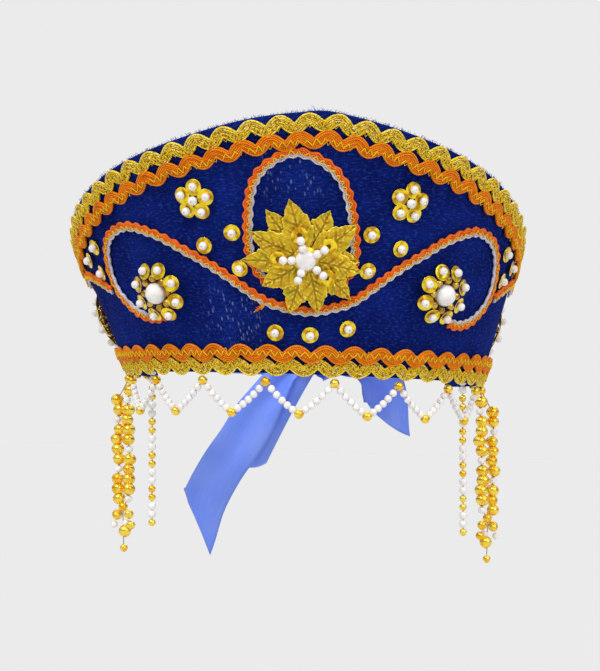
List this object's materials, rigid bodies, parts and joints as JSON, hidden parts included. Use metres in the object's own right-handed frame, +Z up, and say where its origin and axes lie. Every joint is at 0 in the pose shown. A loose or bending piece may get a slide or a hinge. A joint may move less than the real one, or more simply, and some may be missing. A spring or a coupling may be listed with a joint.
{
  "type": "kokoshnik headdress",
  "caption": "Flared half-ring headdress of stiff cloth with rickrack, braid scrolls, foil rosette, sequin flowers, a pearl net, hanging bead chains and a ribbon tied at the back.",
  "frame": {"origin": "centre of the head opening, in the plane of the crown's lower edge", "axes": "front of the crown faces -Y, the wearer's left is +X, +Z up; the head leaves along -Z"},
  "size_m": [0.2301, 0.2384, 0.2161],
  "materials": {
    "cloth": "plain woven, matt",
    "gold_trim": "metallic thread",
    "orange_trim": "matt thread",
    "braid": "matt thread",
    "foil": "crumpled foil",
    "sequin": "polished",
    "pearl": "pearly",
    "bead": "metallised",
    "satin": "satin"
  },
  "bodies": {
    "root": {"crown_panel": "cloth", "gold_rickrack_top": "gold_trim", "orange_rickrack_top": "orange_trim", "orange_rickrack_base": "orange_trim", "gold_rickrack_base": "gold_trim", "arch_braid": "braid", "scroll_braid": "braid", "side_braid_left": "braid", "side_braid_right": "braid", "leaf_layer_lower": "foil", "leaf_layer_upper": "foil", "rosette_cabochon": "pearl", "forehead_net": "pearl", "bow_knot": "satin", "rosette_spoke_1": "pearl", "rosette_spoke_2": "pearl", "rosette_spoke_3": "pearl", "rosette_spoke_4": "pearl", "rosette_spoke_5": "pearl", "five_petal_left": "sequin", "eight_petal_left": "sequin", "side_flower_left": "sequin", "temple_chain_left": "bead", "inner_chain_left": "bead", "ribbon_band_left": "satin", "bow_loop_left": "satin", "ribbon_tail_left": "satin", "sequin_upper_left_1": "sequin", "sequin_side_left_1": "sequin", "sequin_upper_left_2": "sequin", "sequin_side_left_2": "sequin", "sequin_upper_left_3": "sequin", "sequin_side_left_3": "sequin", "five_petal_right": "sequin", "eight_petal_right": "sequin", "side_flower_right": "sequin", "temple_chain_right": "bead", "inner_chain_right": "bead", "ribbon_band_right": "satin", "bow_loop_right": "satin", "ribbon_tail_right": "satin", "sequin_upper_right_1": "sequin", "sequin_side_right_1": "sequin", "sequin_upper_right_2": "sequin", "sequin_side_right_2": "sequin", "sequin_upper_right_3": "sequin", "sequin_side_right_3": "sequin", "sequin_lower_1": "sequin", "sequin_lower_2": "sequin", "sequin_lower_3": "sequin"}
  },
  "joints": []
}
